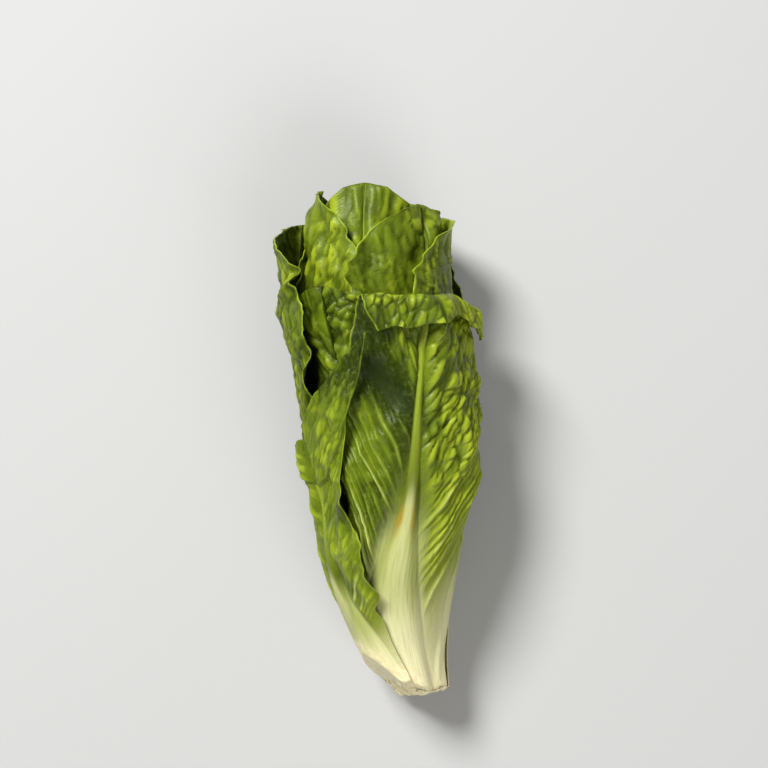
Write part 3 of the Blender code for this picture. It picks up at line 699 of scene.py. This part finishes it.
def envelopeOver(heights):
    # never under the field: each blur spreads no further than the widening before it
    close = blurred(dilated(heights, 2, 3), 2, 3)
    broad = blurred(dilated(heights, 3, 3), 3, 3)
    share = smoothStep(np.arange(heights.shape[0]) * head["fieldStep"] / head["length"], 0.15, 0.40)[:, None]
    return close * (1 - share) + broad * share


# Meshes

def fillMesh(name, points, quads):
    # a smooth mesh from whole arrays of points and of faces with the same number of corners
    mesh = bpy.data.meshes.new(name)
    mesh.vertices.add(len(points))
    mesh.vertices.foreach_set("co", points.astype(np.float32).ravel())
    mesh.loops.add(quads.size)
    mesh.loops.foreach_set("vertex_index", quads.astype(np.int32).ravel())
    mesh.polygons.add(len(quads))
    mesh.polygons.foreach_set("loop_start", np.arange(0, quads.size, quads.shape[1], dtype=np.int32))
    mesh.update(calc_edges=True)
    mesh.validate()
    mesh.shade_smooth()
    return mesh


def gridQuads(rows, columns, start=0, closed=False):
    # the quads between neighbouring rows and columns, round again to column 0 if closed
    index = np.arange(rows * columns).reshape(rows, columns) + start
    right = np.roll(index, -1, 1) if closed else index[:, 1:]
    left = index if closed else index[:, :-1]
    return np.stack([left[:-1].ravel(), right[:-1].ravel(), right[1:].ravel(), left[1:].ravel()], 1)


def outwards(points, quads):
    # turned round if the closed mesh's volume comes out negative
    a, b, c, d = (points[quads[:, i]] for i in range(4))
    volume = np.einsum("ij,ij->i", a, np.cross(b, c)).sum() + np.einsum("ij,ij->i", a, np.cross(c, d)).sum()
    return quads if volume > 0 else quads[:, ::-1]


def addMask(mesh, name, values):
    # one number a point, which the material reads by its name
    mesh.attributes.new(name, "FLOAT", "POINT").data.foreach_set("value", values.astype(np.float32).ravel())


def addSheetMap(mesh, u, v):
    # the sheet's own UV map, in metres along and across the leaf
    loops = np.empty(len(mesh.loops), np.int32)
    mesh.loops.foreach_get("vertex_index", loops)
    uv = np.stack([u, v], 1)[loops].astype(np.float32)
    mesh.uv_layers.new(name="sheet").data.foreach_set("uv", uv.ravel())


def newPiece(name, mesh, material, node):
    # an object at the origin, on the one body, in place of its solid
    piece = bpy.data.objects.new(name, mesh)
    mesh.materials.append(material)
    bpy.context.scene.collection.objects.link(piece)
    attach(piece, "root")
    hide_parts(node)
    return piece


def leafColumns(count):
    # k from -1 to 1: even over the rib, and on the blades t + a sine of t, denser towards the margins
    column = build["ribColumn"]
    onRib = max(4, int(count * 0.11))
    onBlade = count // 2 - onRib
    rib = np.linspace(0, column, onRib + 1)
    t = np.linspace(0, 1, onBlade + 1)[1:]
    half = np.concatenate([rib, column + (1 - column) * (t + 0.12 * np.sin(math.pi * t) / math.pi * 2)])
    half[-1] = 1
    return np.concatenate([-half[:0:-1], half])


# The masks that a leaf's mesh carries for its material
leafMasks = ("vein", "wall", "swell", "patch", "rib", "along", "edge", "stain", "tone", "cut")


def makeLeafPiece(leaf, faces, masks, material):
    # the grids of the inner and the outer face, joined round their rims into one closed shell
    inner, outer = (inPlace(*face) for face in faces)
    inner[..., 2] = np.maximum(inner[..., 2], head["leastBlade"])
    outer[..., 2] = np.maximum(outer[..., 2], 0.0)
    rows, columns = inner.shape[:2]
    count = rows * columns
    points = np.concatenate([inner.reshape(-1, 3), outer.reshape(-1, 3)])
    index = np.arange(count).reshape(rows, columns)
    rim = np.concatenate([index[0, :], index[1:, -1], index[-1, -2::-1], index[-2:0:-1, 0]])
    after = np.roll(rim, -1)
    quads = np.concatenate([
        gridQuads(rows, columns, count),
        gridQuads(rows, columns)[:, ::-1],
        np.stack([rim, after, after + count, rim + count], 1),
    ])
    mesh = fillMesh(leaf["name"], points, outwards(points, quads))
    for name in leafMasks:
        addMask(mesh, name, np.tile(masks[name].ravel(), 2))
    addSheetMap(mesh, np.tile(masks["sheetU"].ravel(), 2), np.tile(masks["sheetV"].ravel(), 2))
    return newPiece(leaf["name"], mesh, material, leaf["node"])


# Materials

def srgb(r, g, b):
    # display values of 0 to 255 to linear light
    c = np.array([r, g, b]) / 255
    return tuple(np.where(c <= 0.04045, c / 12.92, ((c + 0.055) / 1.055) ** 2.4)) + (1.0,)


class Wires:
    # short calls for adding nodes and links to one node tree
    def __init__(self, tree):
        self.tree = tree

    def add(self, kind, **settings):
        node = self.tree.nodes.new(kind)
        for key, value in settings.items():
            setattr(node, key, value)
        return node

    def feed(self, socket, value):
        if isinstance(value, bpy.types.NodeSocket):
            self.tree.links.new(value, socket)
        else:
            socket.default_value = value

    def maths(self, operation, a, b):
        node = self.add("ShaderNodeMath", operation=operation)
        self.feed(node.inputs[0], a)
        self.feed(node.inputs[1], b)
        return node.outputs[0]

    def plus(self, a, b):
        return self.maths("ADD", a, b)

    def less(self, a, b):
        return self.maths("SUBTRACT", a, b)

    def times(self, a, b):
        return self.maths("MULTIPLY", a, b)

    def spread(self, value, low, high, toLow=0.0, toHigh=1.0):
        # toLow to toHigh as the value goes from low to high, by a smooth step
        node = self.add("ShaderNodeMapRange", interpolation_type="SMOOTHSTEP")
        for socket, given in zip(node.inputs, (value, low, high, toLow, toHigh)):
            self.feed(socket, given)
        return node.outputs[0]

    def mix(self, share, a, b):
        node = self.add("ShaderNodeMix", data_type="RGBA")
        self.feed(node.inputs[0], share)
        self.feed(node.inputs[6], a)
        self.feed(node.inputs[7], b)
        return node.outputs[2]

    def noise(self, vector, scale, detail=3.0, roughness=0.55):
        node = self.add("ShaderNodeTexNoise")
        given = {"Vector": vector, "Scale": scale, "Detail": detail, "Roughness": roughness}
        for name, value in given.items():
            self.feed(node.inputs[name], value)
        return node.outputs["Fac"]

    def attribute(self, name):
        return self.add("ShaderNodeAttribute", attribute_name=name).outputs["Fac"]


def newGroup(name, inputs, outputs):
    # an empty node group with sockets of the given labels, kinds and defaults
    group = bpy.data.node_groups.new(name, "ShaderNodeTree")
    for direction, sockets in (("INPUT", inputs), ("OUTPUT", outputs)):
        for label, kind, default in sockets:
            kind = "NodeSocket" + kind
            socket = group.interface.new_socket(name=label, in_out=direction, socket_type=kind)
            if direction == "INPUT" and default is not None:
                socket.default_value = default
    wires = Wires(group)
    return group, wires, wires.add("NodeGroupInput").outputs, wires.add("NodeGroupOutput").inputs


leafColours = {
    "cream": srgb(216, 210, 165),
    "ribLow": srgb(160, 166, 98),
    "ribMid": srgb(68, 78, 15),
    "ribHigh": srgb(124, 138, 38),
    "bladePale": srgb(132, 142, 44),
    "bladeMid": srgb(88, 104, 16),
    # dark blade, also the colour of the painted shade in the creases
    "bladeDark": srgb(40, 52, 3),
    # the darkest blade, reached mostly where painted shade darkens the hollow
    "bladeDeepShade": srgb(25, 37, 2),
    "bladeBright": srgb(138, 152, 31),
    "veinLow": srgb(168, 176, 98),
    "veinHigh": srgb(126, 138, 54),
    # the painted highlight along the margins and the fold's crest
    "rim": srgb(160, 178, 40),
    "ochre": srgb(142, 118, 22),
    "tan": srgb(245, 235, 196),
    "brown": srgb(218, 192, 146),
}


# How many times a metre each noise repeats, the pairs between which one look gives way to the next, by
# tone, by the place along the leaf, or by a mask, and how strongly the rest is laid on
leafLook = {
    "blotches": 70.0, "network": 420.0, "grain": 1100.0, "streaks": 900.0,
    # swellLight paints light on the relief's rises and shade in its hollows
    "byBlotch": 0.45, "byPatch": 0.25, "swellLight": 0.70,      # how much each moves the tone
    "deepToDark": (-0.6, 0.1), "darkToMid": (0.05, 0.55), "midToBright": (0.5, 1.1),
    "lively": (-0.5, 0.1),                                   # duller leaves have no network and less gloss
    "networkMost": 0.16,
    "paleFoot": (0.34, 0.06, 0.0, 0.9),
    "veinTurns": (0.28, 0.62), "veinShows": (0.25, 0.95), "veinFades": (0.98, 0.35, 0.25, 0.85),
    # crease: where the creases between blisters get painted shade, and creaseShade how much
    "crease": (0.40, 1.0), "creaseShade": 0.40,
    # rim: where the painted highlight along the margins and the fold's crest lies; it grows along the leaf
    # and breaks with the blotches
    "rim": (0.965, 1.0), "highlightGrows": (0.2, 0.5, 0.15, 0.60), "highlightBreaks": (0.35, 0.60, 0.45, 1.0),
    "ribLow": (0.04, 0.24), "ribHigh": (0.34, 0.70), "ribTurns": (0.29, 0.47),
    # the rib's crest paler by a painted highlight: cream mixed in, and turning green later
    "crest": (0.62, 0.99), "crestEnds": (0.52, 0.40), "crestLater": 0.11, "crestHighlight": 0.22,
    "streak": (0.40, 0.75, 0.0, 0.22), "streakLong": 0.06,
    "ribEdge": (0.0, 0.75), "creamFoot": (0.20, 0.03), "creamMost": 0.92,
    "stained": (0.30, 0.60, 0.35, 0.95), "browned": (0.30, 0.62, 0.25, 0.95), "tanToBrown": (0.35, 0.65),
    "roughness": (0.25, 0.75, 0.32, 0.48), "dull": 0.38,
    "fineBump": 0.9, "grainBump": 0.25, "livelyBump": 0.85,
}


def makeLeafTissue():
    # blade, vein and rib colours by the leaf's own masks, with blotches, a fine network and a waxy gloss
    sockets = [("Sheet", "Vector", None)]
    sockets += [(label, "Float", 0.0) for label in ("Rib", "Vein", "Wall", "Swell", "Stain", "Cut")]
    sockets += [(label, "Float", 0.5) for label in ("Patch", "Along", "Edge", "Tone")]
    group, wires, given, result = newGroup("leafTissue", sockets, [
        ("Color", "Color", None), ("Roughness", "Float", None), ("Height", "Float", None)])
    look, times = leafLook, wires.times

    def at(value, name):
        # the value between the pair of that name
        return wires.spread(value, *look[name])

    def mix(share, *colours):
        # two colours, by their names or from other nodes
        return wires.mix(share, *(leafColours[c] if isinstance(c, str) else c for c in colours))

    sheet, along, tone = given["Sheet"], given["Along"], given["Tone"]
    blotch = wires.noise(sheet, look["blotches"], 4.0, 0.6)
    fine = wires.noise(sheet, look["network"], 3.0, 0.6)
    grain = wires.noise(sheet, look["grain"], 2.0, 0.5)
    # the blade: dark to bright by tone, cell and blotch, with painted light on the relief's rises and painted
    # shade in its hollows, paler near the foot
    level = tone
    for source, share in ((blotch, "byBlotch"), (given["Patch"], "byPatch"), (given["Swell"], "swellLight")):
        level = wires.plus(level, times(wires.less(source, 0.5), look[share]))
    deep = mix(at(level, "deepToDark"), "bladeDeepShade", "bladeDark")
    dark = mix(at(level, "darkToMid"), deep, "bladeMid")
    blade = mix(at(level, "midToBright"), dark, "bladeBright")
    blade = mix(at(along, "paleFoot"), blade, "bladePale")
    lively = at(tone, "lively")
    network = times(wires.spread(fine, 0.45, 0.75, 0.0, look["networkMost"]), lively)
    blade = mix(network, blade, "veinHigh")
    # side veins, and painted shade in the creases between blisters
    shadedCreases = times(at(given["Wall"], "crease"), look["creaseShade"])
    blade = mix(shadedCreases, blade, "bladeDark")
    veinColour = mix(at(along, "veinTurns"), "veinLow", "veinHigh")
    veined = times(at(given["Vein"], "veinShows"), at(along, "veinFades"))
    blade = mix(veined, blade, veinColour)
    # a painted highlight along the margins and the fold's crest, broken by blotches
    rim = times(at(given["Edge"], "rim"), at(along, "highlightGrows"))
    rim = times(rim, at(blotch, "highlightBreaks"))
    blade = mix(rim, blade, "rim")
    # the rib: cream at the foot, yellow-green higher, later along its crest, which a painted highlight makes
    # paler
    low = mix(at(along, "ribLow"), "cream", "ribLow")
    high = mix(at(along, "ribHigh"), "ribMid", "ribHigh")
    crest = times(at(given["Rib"], "crest"), at(along, "crestEnds"))
    turned = wires.less(along, times(crest, look["crestLater"]))
    rib = mix(at(turned, "ribTurns"), low, high)
    rib = mix(times(crest, look["crestHighlight"]), rib, "cream")
    drawnOut = wires.add("ShaderNodeMapping")
    wires.feed(drawnOut.inputs["Vector"], sheet)
    drawnOut.inputs["Scale"].default_value = (1.0, look["streakLong"], 1.0)
    streak = wires.noise(drawnOut.outputs[0], look["streaks"], 2.0, 0.5)
    rib = mix(at(streak, "streak"), rib, "ribMid")
    colour = mix(at(given["Rib"], "ribEdge"), blade, rib)
    # the cream foot, the stain and the cuts
    foot = times(at(along, "creamFoot"), look["creamMost"])
    colour = mix(foot, colour, "cream")
    stained = times(given["Stain"], at(blotch, "stained"))
    colour = mix(stained, colour, "ochre")
    browned = mix(at(fine, "tanToBrown"), "tan", "brown")
    onCut = times(given["Cut"], at(blotch, "browned"))
    wires.feed(result["Color"], mix(onCut, colour, browned))
    matt = times(wires.less(1.0, lively), look["dull"])
    wires.feed(result["Roughness"], wires.plus(at(fine, "roughness"), matt))
    bumps = wires.plus(times(fine, look["fineBump"]), times(grain, look["grainBump"]))
    bumps = times(bumps, wires.plus(times(lively, look["livelyBump"]), 1 - look["livelyBump"]))
    onRib = wires.spread(given["Rib"], 0.0, 0.4)
    bumps = times(bumps, wires.less(1.0, onRib))
    wires.feed(result["Height"], wires.plus(bumps, times(onRib, streak)))
    return group


# The constants of the skin: inside is how much light enters it, depth how far
leafSkin = {
    "bump": 0.55, "bumpHeight": 0.5 * mm,
    "specular": 0.20, "tint": (0.93, 1.0, 0.62, 1),
    "inside": 0.10, "depth": 1.2 * mm, "reach": (0.6, 1.0, 0.25),
}


def finishShader(wires, shader, look, colour, roughness, height):
    # the parts that both skins share: colour, roughness, a bump and light that enters the surface
    wires.feed(shader.inputs["Base Color"], colour)
    wires.feed(shader.inputs["Roughness"], roughness)
    bump = wires.add("ShaderNodeBump")
    bump.inputs["Strength"].default_value = look["bump"]
    bump.inputs["Distance"].default_value = look["bumpHeight"]
    wires.feed(bump.inputs["Height"], height)
    wires.feed(shader.inputs["Normal"], bump.outputs[0])
    shader.inputs["Subsurface Weight"].default_value = look["inside"]
    shader.inputs["Subsurface Radius"].default_value = look["reach"]
    shader.inputs["Subsurface Scale"].default_value = look["depth"]


def newMaterial(name):
    # a material with the usual shader, and the short calls for its nodes
    material = bpy.data.materials.new(name)
    material.use_nodes = True
    return material, Wires(material.node_tree), material.node_tree.nodes["Principled BSDF"]


def makeLeafMaterial():
    # the tissue group fed with the sheet's map and the masks of each leaf
    material, wires, shader = newMaterial("leafSkin")
    node = wires.add("ShaderNodeGroup", node_tree=makeLeafTissue())
    wires.feed(node.inputs["Sheet"], wires.add("ShaderNodeUVMap", uv_map="sheet").outputs[0])
    for name in leafMasks:
        wires.feed(node.inputs[name.capitalize()], wires.attribute(name))
    out = node.outputs
    finishShader(wires, shader, leafSkin, out["Color"], out["Roughness"], out["Height"])
    shader.inputs["Specular IOR Level"].default_value = leafSkin["specular"]
    shader.inputs["Specular Tint"].default_value = leafSkin["tint"]
    return material


leafMaterial = makeLeafMaterial()
print("leaf material made")

# The leaves are laid on one another from the heart outwards: heights holds the radius reached so far
leaves = makeLeaves()
rowCount = int(head["length"] * 1.1 / head["fieldStep"])
alongStem = np.arange(rowCount) * head["fieldStep"]
stemField = np.where(alongStem < stem["height"], stemRadius(alongStem), 0.0)
heights = np.repeat(stemField[:, None], head["fieldTurns"], axis=1)
for leaf in reversed(leaves):
    columns, rows = leaf["grid"]
    k, v = np.meshgrid(leafColumns(columns), np.linspace(0, 1, rows))
    faces, masks = leafSheet(leaf, k, v, envelopeOver(heights))
    for s, turn, r in faces:
        row = np.clip(np.rint(s * head["length"] / head["fieldStep"]).astype(int), 0, rowCount - 1)
        column = np.rint(turn / (2 * math.pi) * head["fieldTurns"]).astype(int) % head["fieldTurns"]
        np.maximum.at(heights, (row, column), r)
    piece = makeLeafPiece(leaf, faces, masks, leafMaterial)
    low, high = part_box(leaf["node"])
    corners = np.array([tuple(corner) for corner in piece.bound_box])
    apart = np.concatenate([corners.min(0) - np.array(low), corners.max(0) - np.array(high)]) / mm
    print("leaf", leaf["name"], "past its solid by mm", apart.round(1))


# The stump in the middle, inside the leaves' feet
stump = {
    "sides": 120, "rings": 60, "discRings": 13,
    "below": 6 * mm,                   # how far it starts below the cuts
    "wobble": 0.35 * mm, "wobbles": 9, "wobbleSize": 6 * mm,
    "brownest": (0.35, 0.65),          # on the cuts, between and along the edges of their facets
}


def makeStump(material):
    # a turned profile (stemRadius) wobbled by noise, every point under a knife lifted onto its cut, and
    # a disc of rings across the cut
    t = np.linspace(0, 1, stump["rings"])
    along = -stump["below"] + t**1.2 * (stem["height"] + stump["below"])
    turn = np.linspace(0, 2 * math.pi, stump["sides"], endpoint=False)
    turn, along = np.meshgrid(turn, along)
    around = turn / (2 * math.pi) * stump["wobbles"] % stump["wobbles"]
    radius = stemRadius(along) + stump["wobble"] * waviness(around, along / stump["wobbleSize"], 5)
    side = smoothCurve(along / head["length"], head["axisAt"], head["axisSide"]) * mm
    height = smoothCurve(along / head["length"], head["axisAt"], head["axisHeight"]) * mm
    low, crease = knifeAt(turn, radius)
    lifted = np.maximum(along, low)
    body = np.stack([side + radius * np.sin(turn), lifted, height + radius * np.cos(turn)], -1)
    discTurn = turn[:stump["discRings"]]
    discRadius = np.linspace(0, 1, stump["discRings"] + 1)[:-1, None] * radius[0]
    discAlong, discCrease = knifeAt(discTurn, discRadius)
    disc = np.stack([side[0] + discRadius * np.sin(discTurn), discAlong,
                     height[0] + discRadius * np.cos(discTurn)], -1)
    grid = np.concatenate([disc[1:], body])
    rings, count = grid.shape[:2]
    points = np.concatenate([grid.reshape(-1, 3), [disc[0, 0]], [body[-1].mean(0)]]) - np.array(head["shift"])
    here = np.arange(count)
    after = np.roll(here, -1)
    last = rings * count
    faces = gridQuads(rings, count, 0, True).tolist()
    faces += np.stack([after, here, np.full(count, last)], 1).tolist()
    faces += np.stack([here + last - count, after + last - count, np.full(count, last + 1)], 1).tolist()
    mesh = bpy.data.meshes.new("stemButt")
    mesh.from_pydata(points.tolist(), [], faces)
    mesh.update()
    mesh.shade_smooth()
    least, more = stump["brownest"]
    onSide = (lifted > along + 0.01 * mm) * (least + more * crease)
    onDisc = least + more * discCrease[1:]
    addMask(mesh, "cut", np.concatenate([onDisc.ravel(), onSide.ravel(), [0.4, 0.0]]))
    newPiece("stemButt", mesh, material, "stem_butt")


stumpFlesh = {
    "flesh": (srgb(228, 222, 178), srgb(214, 204, 150)),
    "brown": (srgb(222, 204, 160), srgb(184, 150, 106)),
    "blotches": 160.0, "fine": 900.0,
    "bump": 0.6, "bumpHeight": 0.5 * mm,
    "inside": 0.15, "depth": 1.5 * mm, "reach": (1.0, 0.8, 0.4),
}


def makeStumpMaterial():
    # pale flesh in two blotchy tones, browned on the cuts by the mesh's mask
    material, wires, shader = newMaterial("stumpFlesh")
    place = wires.add("ShaderNodeTexCoord").outputs["Object"]
    blotch = wires.noise(place, stumpFlesh["blotches"], 4.0, 0.6)
    fine = wires.noise(place, stumpFlesh["fine"], 3.0, 0.6)
    flesh = wires.mix(wires.spread(blotch, 0.35, 0.70), *stumpFlesh["flesh"])
    brown = wires.mix(wires.spread(fine, 0.35, 0.65), *stumpFlesh["brown"])
    browned = wires.times(wires.attribute("cut"), wires.spread(blotch, 0.36, 0.62, 0.25, 0.95))
    finishShader(wires, shader, stumpFlesh, wires.mix(browned, flesh, brown),
                 wires.spread(fine, 0.3, 0.7, 0.45, 0.65), wires.plus(blotch, fine))
    return material


makeStump(makeStumpMaterial())
print("stump made")

# Floor, light and camera

studio = {
    "floor": 9.0,
    "floorColour": (0.40, 0.40, 0.395, 1),
    "floorRoughness": 0.8,
    "key": {"place": (-1.21, 1.54, 2.09), "size": 1.0, "power": 145.0},
    "fill": {"place": (0.99, -1.76, 1.65), "size": 1.76, "power": 36.0},
    "sky": 0.26,
    "skyColour": (1.0, 0.99, 0.94, 1),
    "cameraPlace": (0.0016, 0.0294, 1.074),
    "lens": 100,
    "sensor": 36,
}


def makeFloor():
    # one square plate under the head
    half = studio["floor"] / 2
    mesh = bpy.data.meshes.new("floor")
    corners = [(-half, -half, 0), (half, -half, 0), (half, half, 0), (-half, half, 0)]
    mesh.from_pydata(corners, [], [(0, 1, 2, 3)])
    material, _, shader = newMaterial("floorPaint")
    shader.inputs["Base Color"].default_value = studio["floorColour"]
    shader.inputs["Roughness"].default_value = studio["floorRoughness"]
    mesh.materials.append(material)
    floor = bpy.data.objects.new("floor", mesh)
    bpy.context.scene.collection.objects.link(floor)


def makeLamp(name, place, size, power):
    # a round area light turned to face the origin
    light = bpy.data.lights.new(name, "AREA")
    light.shape = "DISK"
    light.size = size
    light.energy = power
    lamp = bpy.data.objects.new(name, light)
    lamp.location = place
    x, y, z = -np.array(place)
    lamp.rotation_euler = (math.atan2(math.hypot(x, y), -z), 0, math.atan2(x, -y) + math.pi)
    bpy.context.scene.collection.objects.link(lamp)


makeFloor()
for name in ("key", "fill"):
    makeLamp(name, **studio[name])
world = bpy.data.worlds.new("studio")
world.use_nodes = True
background = world.node_tree.nodes["Background"].inputs
background["Color"].default_value = studio["skyColour"]
background["Strength"].default_value = studio["sky"]
bpy.context.scene.world = world
bpy.context.scene.view_settings.view_transform = "Standard"
view = bpy.data.cameras.new("view")
view.lens = studio["lens"]
view.sensor_width = studio["sensor"]
viewpoint = bpy.data.objects.new("view", view)
viewpoint.location = studio["cameraPlace"]
bpy.context.scene.collection.objects.link(viewpoint)
bpy.context.scene.camera = viewpoint
print("studio ready")
